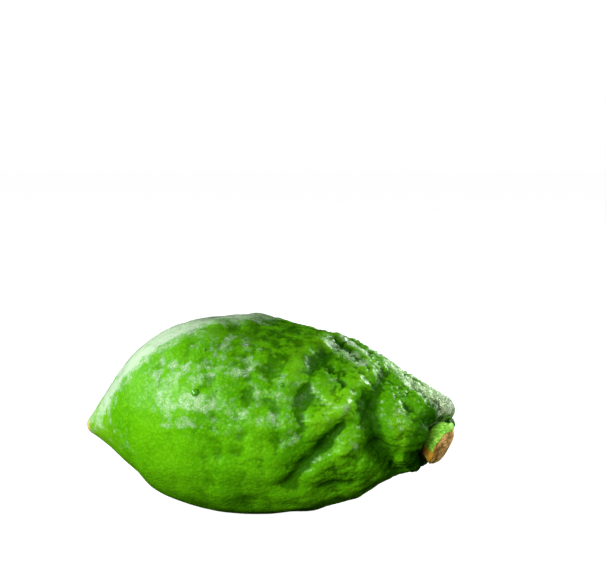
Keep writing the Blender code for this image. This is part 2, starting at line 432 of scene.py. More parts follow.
# %% Helpers that work in geometry trees and in shader trees
def feed(tree, socket, value):
    """Put a number or another node's output into a socket."""
    if isinstance(value, bpy.types.NodeSocket):
        tree.links.new(value, socket)
    else:
        socket.default_value = value


def node_of(tree, kind, inputs, **settings):
    """A new node with its settings, and with numbers or outputs in its inputs."""
    node = tree.nodes.new(kind)
    for name, value in settings.items():
        setattr(node, name, value)
    for name, value in inputs.items():
        feed(tree, node.inputs[name], value)
    return node


def maths(tree, operation, *values):
    return node_of(tree, "ShaderNodeMath", dict(enumerate(values)), operation=operation).outputs[0]


def product(tree, first, *others):
    """Several numbers or outputs multiplied."""
    for other in others:
        first = maths(tree, "MULTIPLY", first, other)
    return first


def without(tree, value):
    """What is left of 1 when value is taken away."""
    return maths(tree, "SUBTRACT", 1.0, value)


def ranged(tree, value, low, high, to_low=0.0, to_high=1.0):
    """A smooth step from to_low, where value is low, to to_high, where it is high."""
    inputs = {"Value": value, "From Min": low, "From Max": high, "To Min": to_low, "To Max": to_high}
    return node_of(tree, "ShaderNodeMapRange", inputs, interpolation_type="SMOOTHSTEP").outputs["Result"]


def part_of(tree, vector, axis):
    return node_of(tree, "ShaderNodeSeparateXYZ", {0: vector}).outputs[axis]


def per_metre(tree, size):
    """How many of a size lie on a metre."""
    return maths(tree, "DIVIDE", 1.0, size)


def clouds(tree, vector, scale, detail=2.0, roughness=0.5):
    inputs = {"Vector": vector, "Scale": scale, "Detail": detail, "Roughness": roughness}
    return node_of(tree, "ShaderNodeTexNoise", inputs).outputs[0]


def cells(tree, vector, scale, softness=0.0):
    """Distance to the nearest of many scattered spots, in cells."""
    inputs = {"Vector": vector, "Scale": scale}
    if softness:
        inputs["Smoothness"] = softness
    feature = "SMOOTH_F1" if softness else "F1"
    return node_of(tree, "ShaderNodeTexVoronoi", inputs, feature=feature).outputs["Distance"]


def blended(tree, factor, first, second):
    """One colour passing into another as factor goes from 0 to 1."""
    return node_of(tree, "ShaderNodeMix", {0: factor, 6: first, 7: second}, data_type="RGBA").outputs[2]


def new_tree(name, kind, inputs, output, output_kind):
    """A node tree with one output and named inputs, each a default number or a kind of socket."""
    tree = bpy.data.node_groups.new(name, kind)
    tree.interface.new_socket(output, in_out="OUTPUT", socket_type=output_kind)
    for name, value in inputs.items():
        kind = {int: "NodeSocketInt", float: "NodeSocketFloat"}.get(type(value), value)
        socket = tree.interface.new_socket(name, in_out="INPUT", socket_type=kind)
        if kind != value:
            socket.default_value = value
    return tree, {output.name: output for output in tree.nodes.new("NodeGroupInput").outputs}


def grown(obj, tree, values):
    """Run a geometry tree on an object and keep the result as its plain mesh."""
    modifier = obj.modifiers.new(tree.name, "NODES")
    modifier.node_group = tree
    for item in tree.interface.items_tree:
        if item.in_out == "INPUT" and item.name in values:
            modifier[item.identifier] = values[item.name]
    graph = bpy.context.evaluated_depsgraph_get()
    old = obj.data
    obj.data = bpy.data.meshes.new_from_object(obj.evaluated_get(graph))
    obj.modifiers.clear()
    obj.data.name = obj.name
    bpy.data.meshes.remove(old)


print("node helpers ready")

# %% [markdown]
# ## Effects that several materials share
# The rind, the bark of the stem button and its cut wood are all plant skins, so they share two effects:
# a mottle, in which colour drifts in patches, and pores, the small domes of the oil glands with their
# dimples. Each is one node group with named inputs, used with other sizes in each material.

# %% Node groups: mottle and pores
def mottle_group():
    tree, given = new_tree("mottle", "ShaderNodeTree", {
        "Vector": "NodeSocketVector",
        "Patch Size": 0.01,
        "Fleck Size": 0.001,
        "Fleck Share": 0.3,
    }, "Value", "NodeSocketFloat")
    patches = clouds(tree, given["Vector"], per_metre(tree, given["Patch Size"]), 3.0, 0.55)
    flecks = clouds(tree, given["Vector"], per_metre(tree, given["Fleck Size"]), 2.0, 0.6)
    patches, flecks = ranged(tree, patches, 0.3, 0.7), ranged(tree, flecks, 0.3, 0.7)
    apart = maths(tree, "SUBTRACT", flecks, patches)
    both = maths(tree, "MULTIPLY_ADD", apart, given["Fleck Share"], patches)
    node_of(tree, "NodeGroupOutput", {"Value": both})
    return tree


def pores_group():
    tree, given = new_tree("pores", "ShaderNodeTree", {
        "Vector": "NodeSocketVector",
        "Gland Size": 0.001,
        "Dimple Share": 0.35,
    }, "Height", "NodeSocketFloat")
    distance = cells(tree, given["Vector"], per_metre(tree, given["Gland Size"]))
    dome = ranged(tree, distance, 0.75, 0.1)
    dimple = ranged(tree, distance, given["Dimple Share"], 0.0)
    node_of(tree, "NodeGroupOutput", {"Height": maths(tree, "MULTIPLY_ADD", dimple, -0.6, dome)})
    return tree


MOTTLE, PORES = mottle_group(), pores_group()


def use_group(tree, group, values):
    """The output of a group that is placed in a tree with its own values."""
    return node_of(tree, "ShaderNodeGroup", values, node_tree=group).outputs[0]


print("groups:", MOTTLE.name, PORES.name)

# %% [markdown]
# ## The rind's finish
# The colour of an unripe lemon is a mottle of two saturated greens, with lighter oil glands. Painted light
# makes the crowns of its lumps lighter, and painted shade makes its furrows, small pockets, pit and patches
# of its top deeper. Its nipple is paler and ends in a dry yellow scar, where the flower's style fell off.
# Wax bloom with a painted sheen lies over this as a pale powder, thick on the shoulder, gritty on the
# collar and a haze of specks elsewhere. A thin coat of wax and water gives the crowns their gloss, while
# the furrows stay dull, and the glands break every highlight into specks.

# %% A material and its shader
PLANT_SPECULAR = 0.24


def plain_material(name):
    material = bpy.data.materials.new(name)
    material.use_nodes = True
    tree = material.node_tree
    shader = next(node for node in tree.nodes if node.type == "BSDF_PRINCIPLED")
    shader.inputs["Specular IOR Level"].default_value = PLANT_SPECULAR
    return material, tree, shader


def dress(tree, shader, looks):
    """Set a shader's sockets to numbers that are the same all over, or to outputs that vary."""
    for name, value in looks.items():
        feed(tree, shader.inputs[name], value)


def attribute(tree, name):
    return node_of(tree, "ShaderNodeAttribute", {}, attribute_name=name).outputs["Fac"]


def place(tree):
    return tree.nodes.new("ShaderNodeTexCoord").outputs["Object"]


def bumped(tree, height, distance):
    return node_of(tree, "ShaderNodeBump", {"Height": height, "Distance": distance}).outputs["Normal"]


# %% Rind material
# The green of the painted shade in the furrows, small pockets, pit, collar lip and top.
PAINTED_SHADE_GREEN = (0.008, 0.062, 0.0, 1)
RIND_GREEN = (0.058, 0.275, 0.0010, 1)
RIND_LIGHT = (0.100, 0.375, 0.0020, 1)
# A light green for the oil glands and for painted light on the crowns of the lumps.
GLAND_AND_PAINTED_LIGHT_GREEN = (0.190, 0.52, 0.008, 1)
# The pale greys of the wax bloom, with painted sheen on the shoulder, the flank's spots and the neck.
BLOOM_AND_SHEEN_GREY = (0.52, 0.62, 0.52, 1)
FROST_AND_SHEEN_WHITE = (0.86, 0.98, 0.80, 1)
NIPPLE_PALE = (0.17, 0.40, 0.012, 1)
SCAR_TAN = (0.55, 0.42, 0.12, 1)

# How many clouds of each noise lie on a metre.
TOP_SHADE_CLOUDS = 300.0
RAGGED_CLOUDS = 380.0
WET_CLOUDS = 260.0
SPECKS = 2700.0
GRAINS = 3000.0
RAGGEDNESS = 2.2

# How high above the ground the painted shade on the top begins and is full, in metres.
TOP_SHADE_HEIGHT = (0.034, 0.046)
GLAND_SPOTS = 0.42
# Tints and painted light that follow a value of the points: where it begins, where it is full, its share and
# its colour.
TINTS_AND_PAINTED_LIGHT = [
    # painted light on the crowns of the lumps
    ("rise", 0.2, 1.4, 0.42, GLAND_AND_PAINTED_LIGHT_GREEN),
    # painted shade in the small pockets, in the pit and on the collar's lip over it
    ("pocket", 0.0, 0.12, 0.45, PAINTED_SHADE_GREEN),
    ("pit", 0.02, 0.5, 0.85, PAINTED_SHADE_GREEN),
    ("along", 0.955, 0.985, 0.85, PAINTED_SHADE_GREEN),
    # the paler nipple
    ("along", 0.17, 0.02, 0.50, NIPPLE_PALE),
]
GLAND_BUMP = 0.00010
GRAIN_SHARE = 0.9
COAT_ROUGHNESS = 0.22
COAT_IOR = 1.40
RIND_SPECULAR = 0.05


def rind_colour(tree, where, along, glands, furrow):
    """The greens of the rind, from the mottle to the scar, with painted light and painted shade."""
    broad = use_group(tree, MOTTLE, {
        "Vector": where, "Patch Size": 0.014, "Fleck Size": 0.0015, "Fleck Share": 0.25,
    })
    colour = blended(tree, broad, RIND_GREEN, RIND_LIGHT)
    colour = blended(tree, ranged(tree, glands, 0.3, 0.95, 0.0, GLAND_SPOTS), colour, GLAND_AND_PAINTED_LIGHT_GREEN)
    # Painted shade darkens the furrows, more towards the neck.
    shade = product(tree, furrow, ranged(tree, along, 0.54, 0.72, 0.20, 0.72))
    colour = blended(tree, shade, colour, PAINTED_SHADE_GREEN)
    # Painted shade darkens the top of the fruit in patches between the shoulder and the neck.
    high = ranged(tree, part_of(tree, where, "Z"), *TOP_SHADE_HEIGHT)
    between = product(tree, ranged(tree, along, 0.40, 0.56), ranged(tree, along, 0.82, 0.70))
    patches = ranged(tree, clouds(tree, where, TOP_SHADE_CLOUDS, 3.0, 0.6), 0.40, 0.62, 0.15, 0.80)
    colour = blended(tree, product(tree, high, between, patches), colour, PAINTED_SHADE_GREEN)
    for name, low, high, share, tint in TINTS_AND_PAINTED_LIGHT:
        colour = blended(tree, ranged(tree, attribute(tree, name), low, high, 0.0, share), colour, tint)
    scar = ranged(tree, maths(tree, "MULTIPLY_ADD", broad, 0.006, along), 0.020, 0.008)
    return blended(tree, scar, colour, SCAR_TAN)


def powder_and_sheen_share(tree, where, along, furrow, bloom):
    """How much of the rind the bloom and painted sheen cover: all of it where they are thick, specks where
    they are thin.
    """
    ragged = clouds(tree, where, RAGGED_CLOUDS, 4.0, 0.65)
    ragged = maths(tree, "MULTIPLY_ADD", ragged, RAGGEDNESS, bloom)
    least = ranged(tree, along, 0.80, 0.92, 0.26, 0.0)
    specks = ranged(tree, clouds(tree, where, SPECKS, 3.0, 0.7), 0.45, 0.60, least, 0.95)
    thick = ranged(tree, bloom, 0.60, 0.84, 0.0, 0.80)
    thick = product(tree, thick, ranged(tree, along, 0.50, 0.65, 1.0, 0.30))
    powder_and_sheen = product(tree, ranged(tree, ragged, 1.40, 2.0), maths(tree, "MAXIMUM", specks, thick))
    clear = ranged(tree, furrow, 0.1, 0.8, 1.0, 0.25)
    collar = ranged(tree, along, 0.86, 0.94, 0.82, 1.0)
    return product(tree, powder_and_sheen, ranged(tree, bloom, 0.04, 0.25), clear, collar)


def coat_weight(tree, along, glands, furrow, bloom, wet):
    """A coat of wax and water on the crowns, thinner on the flank, where the bloom with its painted sheen is
    dry, and at the pit.
    """
    wax = product(tree, ranged(tree, wet, 0.0, 1.0, 0.30, 0.75), without(tree, furrow))
    crowns = ranged(tree, glands, 0.15, 0.80, 0.35, 1.0)
    dry = product(tree, ranged(tree, bloom, 0.3, 0.6), ranged(tree, along, 0.46, 0.36), 0.97)
    neckward, at_the_pit = ranged(tree, along, 0.44, 0.64, 0.60, 1.3), ranged(tree, along, 0.975, 0.94)
    return product(tree, wax, crowns, without(tree, dry), neckward, at_the_pit)


def rind_material():
    material, tree, shader = plain_material("rind_green")
    where, along, bloom = place(tree), attribute(tree, "along"), attribute(tree, "bloom")
    glands = use_group(tree, PORES, {"Vector": where, "Gland Size": 0.00095, "Dimple Share": 0.35})
    sunk = ranged(tree, attribute(tree, "hollow"), 0.0, 0.55)
    furrow = maths(tree, "MAXIMUM", sunk, ranged(tree, attribute(tree, "rise"), -0.2, -1.8))
    colour = rind_colour(tree, where, along, glands, furrow)
    # The bloom's grey with its painted sheen turns whiter towards the collar.
    dust_and_sheen = blended(tree, ranged(tree, along, 0.84, 0.94), BLOOM_AND_SHEEN_GREY, FROST_AND_SHEEN_WHITE)
    colour = blended(tree, powder_and_sheen_share(tree, where, along, furrow, bloom), colour, dust_and_sheen)
    # Wet patches are smooth, and dry rind is rougher towards the stem and in the furrows.
    wet = ranged(tree, clouds(tree, where, WET_CLOUDS, 2.0, 0.6), 0.46, 0.58)
    waxy = ranged(tree, along, 0.28, 0.55, 0.24, 0.42)
    rough = maths(tree, "ADD", ranged(tree, wet, 0.0, 1.0, waxy, 0.10), product(tree, furrow, 0.15))
    grain = clouds(tree, where, GRAINS, 2.0, 0.6)
    rugged = maths(tree, "MULTIPLY_ADD", grain, GRAIN_SHARE, glands)
    rugged = product(tree, rugged, ranged(tree, along, 0.48, 0.72, 0.7, 1.0))
    dress(tree, shader, {
        "Base Color": colour,
        "Roughness": rough,
        "Normal": bumped(tree, rugged, GLAND_BUMP),
        "Coat Weight": coat_weight(tree, along, glands, furrow, bloom, wet),
        "Coat Roughness": COAT_ROUGHNESS,
        "Coat IOR": COAT_IOR,
        "Specular IOR Level": RIND_SPECULAR,
    })
    return material


RIND = rind_material()
print("material:", RIND.name)

# %% [markdown]
# ## Pebbles on the rind
# Between the large folds the rind is pebbled: hardly at the nipple's end, strongly round the neck, where
# the pebbles stretch into short ridges along the fruit. Wide, shallow dents lie between them. A geometry
# tree raises every point of the skin by this rule. Its inputs name the sizes and heights of the dents,
# knobs, pebbles and grain, and how much of them the smooth nipple's end gets.

# %% A geometry tree for the pebbles
def named(tree, name, kind="FLOAT"):
    node = node_of(tree, "GeometryNodeInputNamedAttribute", {"Name": name}, data_type=kind)
    return node.outputs["Attribute"]


def combined(tree, x, y, z):
    return node_of(tree, "ShaderNodeCombineXYZ", {0: x, 1: y, 2: z}).outputs[0]


def vectors(tree, operation, first, second):
    inputs = {0: first, "Scale" if operation == "SCALE" else 1: second}
    return node_of(tree, "ShaderNodeVectorMath", inputs, operation=operation).outputs[0]


def blurred(tree, value, rounds):
    """A value of the points, evened out with their neighbours' values."""
    inputs = {"Value": value, "Iterations": rounds}
    return node_of(tree, "GeometryNodeBlurAttribute", inputs, data_type="FLOAT").outputs["Value"]


def stored(tree, geometry, name, value):
    inputs = {"Name": name, "Geometry": geometry, "Value": value}
    node = node_of(tree, "GeometryNodeStoreNamedAttribute", inputs, data_type="FLOAT", domain="POINT")
    return node.outputs[0]


def domes(tree, where, size, softness):
    """A field of round domes that are size apart, from 0 between them to 1 on top."""
    return ranged(tree, cells(tree, where, per_metre(tree, size), softness), 0.85, 0.05)


def finished(tree, geometry, material):
    """End a geometry tree: make its instances real and give it its material."""
    whole = node_of(tree, "GeometryNodeRealizeInstances", {0: geometry}).outputs[0]
    dressed = node_of(tree, "GeometryNodeSetMaterial", {"Geometry": whole, "Material": material})
    node_of(tree, "NodeGroupOutput", {0: dressed.outputs[0]})


BROAD_BLUR = 60
NARROW_BLUR = 8
DENTS_ROUND_THE_FRUIT = (1.0, 0.42, 0.42)
PATCH_CLOUDS = 120.0
SEED_SHIFT = 0.1


def pebbles_tree():
    tree, given = new_tree("pebbled_rind", "GeometryNodeTree", {
        "Skin": "NodeSocketGeometry",
        "Dent Size": 0.0062,
        "Dent Depth": 0.0015,
        "Knob Size": 0.0060,
        "Knob Height": 0.00060,
        "Pebble Size": 0.0026,
        "Pebble Height": 0.00066,
        "Grain Size": 0.00095,
        "Grain Height": 0.00052,
        "Stretch": 1.7,
        "Smooth Share": 0.20,
        "Seed": 3.0,
        "Finish": "NodeSocketMaterial",
    }, "Rind", "NodeSocketGeometry")
    along = named(tree, "along")
    # The pit, the resting patch and the scar stay smooth.
    position = tree.nodes.new("GeometryNodeInputPosition").outputs[0]
    over_floor = part_of(tree, position, "Z")
    still = product(tree, without(tree, named(tree, "pit")), ranged(tree, over_floor, 0.0, 0.005))
    still = product(tree, still, ranged(tree, along, 0.0, 0.12))
    rough_side = ranged(tree, over_floor, 0.004, 0.022, 0.35, 1.0)
    knobbly = product(tree, ranged(tree, along, 0.35, 0.80, given["Smooth Share"], 1.0), rough_side)
    knobbly = product(tree, still, knobbly)
    pebbly = product(tree, ranged(tree, along, 0.30, 0.82, given["Smooth Share"], 1.0), rough_side)
    pebbly = product(tree, still, pebbly)
    dented = product(tree, still, ranged(tree, along, 0.12, 0.42))
    # The top of the neck is scaly with fine, sharp grain.
    normal = tree.nodes.new("GeometryNodeInputNormal").outputs[0]
    on_top = ranged(tree, part_of(tree, normal, "Z"), 0.45, 0.8)
    scaly = product(tree, still, product(tree, ranged(tree, along, 0.62, 0.76), on_top))

    moved = vectors(tree, "ADD", position, product(tree, given["Seed"], SEED_SHIFT))
    squeeze = combined(tree, maths(tree, "DIVIDE", 1.0, given["Stretch"]), 1.0, 1.0)
    stretched = vectors(tree, "MULTIPLY", moved, squeeze)
    widened = vectors(tree, "MULTIPLY", moved, DENTS_ROUND_THE_FRUIT)
    patches = ranged(tree, clouds(tree, moved, PATCH_CLOUDS), 0.35, 0.62, 0.2, 1.0)
    dent = clouds(tree, widened, per_metre(tree, given["Dent Size"]), 1.5, 0.5)
    dent = maths(tree, "SUBTRACT", dent, 0.5)
    dent = product(tree, dent, given["Dent Depth"], dented)
    knob = product(tree, domes(tree, stretched, given["Knob Size"], 0.5), given["Knob Height"])
    pebble = product(tree, domes(tree, stretched, given["Pebble Size"], 0.3), given["Pebble Height"], patches)
    grain = product(tree, domes(tree, moved, given["Grain Size"], 0.2), given["Grain Height"])
    fine = product(tree, maths(tree, "MULTIPLY_ADD", grain, 0.5, pebble), pebbly)
    fine = maths(tree, "MULTIPLY_ADD", grain, scaly, fine)
    height = maths(tree, "MULTIPLY_ADD", knob, knobbly, maths(tree, "ADD", fine, dent))
    # Half of it goes inwards, so that the skin keeps the frame's size.
    sunk = product(tree, knobbly, given["Knob Height"])
    sunk = maths(tree, "MULTIPLY_ADD", pebbly, given["Pebble Height"], sunk)
    height = maths(tree, "MULTIPLY_ADD", sunk, -0.5, height)

    # How much lower a point lies than its surroundings, in mm, is kept for the painted shade in the rind's
    # colour, for its bloom and for its gloss.
    whole = maths(tree, "MULTIPLY_ADD", named(tree, "rise"), MM, height)
    skin = given["Skin"]
    for name, rounds in (("hollow", BROAD_BLUR), ("pocket", NARROW_BLUR)):
        lower = maths(tree, "SUBTRACT", blurred(tree, whole, rounds), whole)
        skin = stored(tree, skin, name, product(tree, lower, 1 / MM))
    offset = vectors(tree, "SCALE", normal, height)
    raised = node_of(tree, "GeometryNodeSetPosition", {"Geometry": skin, "Offset": offset})
    finished(tree, raised.outputs[0], given["Finish"])
    return tree


grown(rind, pebbles_tree(), {"Finish": RIND})
smooth_faces(rind.data)
print("rind:", len(rind.data.polygons), "faces with", rind.data.materials[0].name)
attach(rind, "root")
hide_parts("fruit")

# %% [markdown]
# ## Dew
# The lemon has been sprayed with water. Fine droplets sit in the wetter patches, mostly towards the stem,
# and a few larger drops stand on the side that faces the camera. Hundreds of droplets would be slow to
# place by hand, so a geometry tree scatters one small, flattened sphere over the skin and turns every copy
# to the skin's own direction. The larger drops are placed one by one. Water takes on the rind's green: a
# droplet is light and nearly clear, and a larger drop is deeper and shows a highlight.

# %% A geometry tree for the dew
# The larger drops: distance along the fruit in mm, turn in degrees and radius in mm.
LARGE_DROPS = [
    (38.8, 68, 1.05), (49.5, 69, 0.55), (59.7, 60, 0.60), (44.0, 67, 0.34), (39.4, 42, 0.45),
    (67.5, 78, 0.40), (70.1, 78, 0.36), (85.0, 70, 0.38), (86.2, 54, 0.40),
]
DROP_SEGMENTS, DROP_RINGS = 10, 6
DROP_FLATNESS = 0.55
DROP_LIFT = 0.0001
LARGE_IS_RARE = 3.0


def drops_on(tree, points, turned_to, size):
    """Small flattened spheres on points, with a few dozen faces each."""
    ball = node_of(tree, "GeometryNodeMeshUVSphere", {"Segments": DROP_SEGMENTS, "Rings": DROP_RINGS})
    flattened = {"Geometry": ball.outputs["Mesh"], "Scale": (1.0, 1.0, DROP_FLATNESS)}
    flat = node_of(tree, "GeometryNodeTransform", flattened).outputs[0]
    inputs = {"Points": points, "Instance": flat, "Rotation": turned_to, "Scale": size}
    return node_of(tree, "GeometryNodeInstanceOnPoints", inputs).outputs[0]


def dew_tree():
    tree, given = new_tree("dew", "GeometryNodeTree", {
        "Large Drops": "NodeSocketGeometry",
        "Skin": "NodeSocketObject",
        "Most Per Square Metre": 260000.0,
        "Patch Size": 0.012,
        "Smallest": 0.00010,
        "Largest": 0.00036,
        "Seed": 5,
        "Finish": "NodeSocketMaterial",
    }, "Dew", "NodeSocketGeometry")
    skin = node_of(tree, "GeometryNodeObjectInfo", {"Object": given["Skin"]}).outputs["Geometry"]
    position = tree.nodes.new("GeometryNodeInputPosition").outputs[0]
    wet = clouds(tree, position, per_metre(tree, given["Patch Size"]), 2.0, 0.6)
    # No drop hangs on the underside or in the pit, and few sit towards the nipple.
    over_ground = ranged(tree, part_of(tree, position, "Z"), 0.014, 0.024)
    neckward = ranged(tree, named(tree, "along"), 0.30, 0.62, 0.15, 1.0)
    wet = product(tree, ranged(tree, wet, 0.50, 0.66), given["Most Per Square Metre"], over_ground)
    density = product(tree, wet, without(tree, named(tree, "pit")), neckward)
    inputs = {"Mesh": skin, "Density": density, "Seed": given["Seed"]}
    scatter = node_of(tree, "GeometryNodeDistributePointsOnFaces", inputs)
    chance = node_of(tree, "FunctionNodeRandomValue", {"Seed": given["Seed"]}, data_type="FLOAT")
    few_large = maths(tree, "POWER", next(o for o in chance.outputs if o.enabled), LARGE_IS_RARE)
    spread = maths(tree, "SUBTRACT", given["Largest"], given["Smallest"])
    size = maths(tree, "MULTIPLY_ADD", few_large, spread, given["Smallest"])
    fine = drops_on(tree, scatter.outputs["Points"], scatter.outputs["Rotation"], size)
    away = {"Vector": named(tree, "away", "FLOAT_VECTOR")}
    facing = node_of(tree, "FunctionNodeAlignRotationToVector", away, axis="Z").outputs[0]
    large = drops_on(tree, given["Large Drops"], facing, named(tree, "size"))
    both = node_of(tree, "GeometryNodeJoinGeometry", {0: large})
    tree.links.new(fine, both.inputs[0])
    finished(tree, both.outputs[0], given["Finish"])
    return tree


WATER_LIGHT = (0.09, 0.40, 0.008, 1)
WATER_DEEP = (0.055, 0.31, 0.0, 1)
WATER_ROUGHNESS = 0.14
WATER_SPECULAR = 0.5


def water():
    """Water in the rind's green, deeper and less clear in the larger drops."""
    material, tree, shader = plain_material("water")
    large = ranged(tree, attribute(tree, "size"), 0.0003, 0.0006)
    dress(tree, shader, {
        "Base Color": blended(tree, large, WATER_LIGHT, WATER_DEEP),
        "Alpha": ranged(tree, large, 0.0, 1.0, 0.40, 0.80),
        "Roughness": WATER_ROUGHNESS,
        "Specular IOR Level": WATER_SPECULAR,
    })
    return material


def skin_place(at, turn):
    """Where the smooth skin is at a distance along the axis and a turn round it, in metres."""
    outer = np.array(OUTLINE[:OUTLINE.index((RIM_AT, RIM_RADIUS)) + 1])
    radius = np.interp(at, outer[:, 0], outer[:, 1])
    turn = math.radians(turn)
    straight = np.array([[radius * math.cos(turn), radius * math.sin(turn), at]])
    return (bent(straight)[0] - origin) * MM


def large_drop_points():
    """A mesh of bare points on the skin, each with its drop's radius and the way it faces."""
    points, normals = points_and_normals(rind.data)
    places = [skin_place(at, turn) for at, turn, _ in LARGE_DROPS]
    chosen = [np.argmin(np.linalg.norm(points - place, axis=1)) for place in places]
    mesh = bpy.data.meshes.new("dew")
    mesh.from_pydata(points[chosen] + normals[chosen] * DROP_LIFT, [], [])
    keep_on_points(mesh, "size", [size * MM for _, _, size in LARGE_DROPS])
    away = mesh.attributes.new("away", "FLOAT_VECTOR", "POINT")
    away.data.foreach_set("vector", normals[chosen].astype(np.float32).ravel())
    return added("dew", mesh)


dew = large_drop_points()
grown(dew, dew_tree(), {"Skin": rind, "Finish": water()})
smooth_faces(dew.data)
print("dew:", len(dew.data.polygons), "faces")
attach(dew, "root")

# %% [markdown]
# ## The stem button
# A lemon is clipped from the tree with a small button left on: the green calyx, a collar of bark, and the
# slanted cut through the stem's wood. It sits in the pit at the neck's end and points a little down. The
# same turned outline as the frame's button is used with finer rings. Wrinkles of the bark run lengthwise,
# its ragged edge stands round the cut, its lower side is dry and brown, and the wood inside has cracked.

# %% The button's outline
BUTTON_RADIUS = 5.6
BUTTON_OUTLINE = [
    (0.0, 0.0), (0.0, 2.4), (0.5, 3.9), (1.5, 4.7), (2.6, 5.0), (3.6, 5.3),
    (4.4, BUTTON_RADIUS), (5.0, 5.4), (5.6, 4.7), (6.0, 3.4), (6.2, 1.7), (6.2, 0.0),
]
BUTTON_RINGS = 110
BUTTON_SIDES = 180
BUTTON_DROOP = 37
BUTTON_SWERVE = 14
BUTTON_LOBES = 5
BUTTON_LOBE_HEIGHT = 0.3
CUT_SLANT = math.radians(13)
ROOT_GAP = 0.98
ROOT_RAISE = 0.7
DRY_TURN = 150
CUT_OFF = (4.75, 5.0)
# waves of the bark's ragged edge: height in mm, waves round the button, and where they start
PEEL_WAVES = [(0.45, 1, math.pi / 2), (0.22, 3, 1), (0.12, 7, 0)]
BARK_LIFT, BARK_WRINKLE = 0.12, 0.22
WOOD_SINK, WOOD_CRACK = 0.10, 0.18
# how fine the noise is: of the bark round the button and along it, and of the wood
BARK_ROUND, BARK_ALONG, WOOD_FINE = 4.62, 0.25, 1.1
WOOD_NOISE_AT = 5.0
FLARED = (2.0, 4.5)
WRINKLED = (1.2, 2.6)
DRY_SIDE = (0.45, 0.95)


def fine_button():
    button = turned("stem_button_skin", spread_outline(BUTTON_OUTLINE, BUTTON_RINGS), BUTTON_SIDES)
    points, normals = points_and_normals(button.data)
    turn = np.arctan2(points[:, 1], points[:, 0])
    flare = eased(*FLARED, points[:, 2])
    swell = BUTTON_LOBE_HEIGHT * np.cos(BUTTON_LOBES * turn) * flare / BUTTON_RADIUS
    peel = sum(height * np.sin(waves * turn + begin) for height, waves, begin in PEEL_WAVES)
    cut = eased(*CUT_OFF, points[:, 2] - peel)
    # wrinkles of the bark, and the cracks and grain of the wood
    spots = [BARK_ROUND * np.cos(turn), BARK_ROUND * np.sin(turn), BARK_ALONG * points[:, 2]]
    bark = np.array([noise.noise(Vector(spot)) for spot in zip(*spots)])
    wood = np.array([noise.noise(Vector((*spot, WOOD_NOISE_AT))) for spot in WOOD_FINE * points[:, :2]])
    lift = (1 - cut) * (BARK_LIFT + BARK_WRINKLE * bark) - cut * (WOOD_SINK + WOOD_CRACK * np.abs(wood))
    lift *= eased(*WRINKLED, points[:, 2])
    points += normals * lift[:, None]
    points[:, 2] -= points[:, 0] * math.tan(CUT_SLANT) * flare
    points[:, :2] *= (1 + swell)[:, None]
    points[:, 0] += ROOT_RAISE
    root = axis_at([PIT_FLOOR_AT + ROOT_GAP])
    points = set_in(points, root, pointing([BUTTON_DROOP], [BUTTON_SWERVE]))
    move_points(button.data, points, origin)
    keep_on_points(button.data, "wood", cut)
    # The bark is dry and brown on the lower side.
    keep_on_points(button.data, "dry", eased(*DRY_SIDE, np.cos(turn - math.radians(DRY_TURN))))
    return button


button = fine_button()
print("stem button:", len(button.data.polygons), "faces")

# %% Bark and wood
BARK_GREEN = (0.045, 0.38, 0.002, 1)
BARK_PALE = (0.46, 0.82, 0.12, 1)
RUST = (0.70, 0.26, 0.015, 1)
WOOD_TAN = (0.78, 0.46, 0.17, 1)
WOOD_DARK = (0.24, 0.11, 0.018, 1)
WOOD_CELLS = 620.0
BARK_BUMP = 0.00008


def button_material():
    material, tree, shader = plain_material("stem_bark_and_wood")
    where, wood = place(tree), attribute(tree, "wood")
    bark_mottle = use_group(tree, MOTTLE, {
        "Vector": where, "Patch Size": 0.0022, "Fleck Size": 0.0007, "Fleck Share": 0.65,
    })
    wood_mottle = use_group(tree, MOTTLE, {
        "Vector": where, "Patch Size": 0.0018, "Fleck Size": 0.0004, "Fleck Share": 0.5,
    })
    bark = blended(tree, bark_mottle, BARK_GREEN, BARK_PALE)
    dry = ranged(tree, maths(tree, "MULTIPLY_ADD", bark_mottle, 0.5, attribute(tree, "dry")), 0.55, 0.95)
    bark = blended(tree, product(tree, dry, 0.9), bark, blended(tree, bark_mottle, WOOD_DARK, RUST))
    cut = blended(tree, ranged(tree, wood_mottle, 0.2, 0.6), WOOD_DARK, WOOD_TAN)
    cracks = ranged(tree, cells(tree, where, WOOD_CELLS), 0.55, 0.85)
    cut = blended(tree, product(tree, cracks, 0.7), cut, WOOD_DARK)
    edge = product(tree, ranged(tree, wood, 0.05, 0.5), ranged(tree, wood, 0.98, 0.6), 0.85)
    colour = blended(tree, ranged(tree, wood, 0.3, 0.7), bark, cut)
    pores = use_group(tree, PORES, {"Vector": where, "Gland Size": 0.0007, "Dimple Share": 0.4})
    dress(tree, shader, {
        "Base Color": blended(tree, edge, colour, RUST),
        "Roughness": ranged(tree, wood, 0.3, 0.7, 0.5, 0.75),
        "Normal": bumped(tree, pores, BARK_BUMP),
    })
    return material


button.data.materials.append(button_material())
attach(button, "root")
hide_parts("stem_button")
print("stem button wears", button.data.materials[0].name)

# %% [markdown]
# ## The studio
# Large soft lights at the front left light the flank. One of them and the fill are tinted yellow-green.
# Two broad lights behind graze the shoulder and the neck. A black card over the fruit, which the camera
# does not see, shades its top. The ground is white to the camera but gives almost no light back, which
# keeps the lower side of the fruit dark and its colour deep.

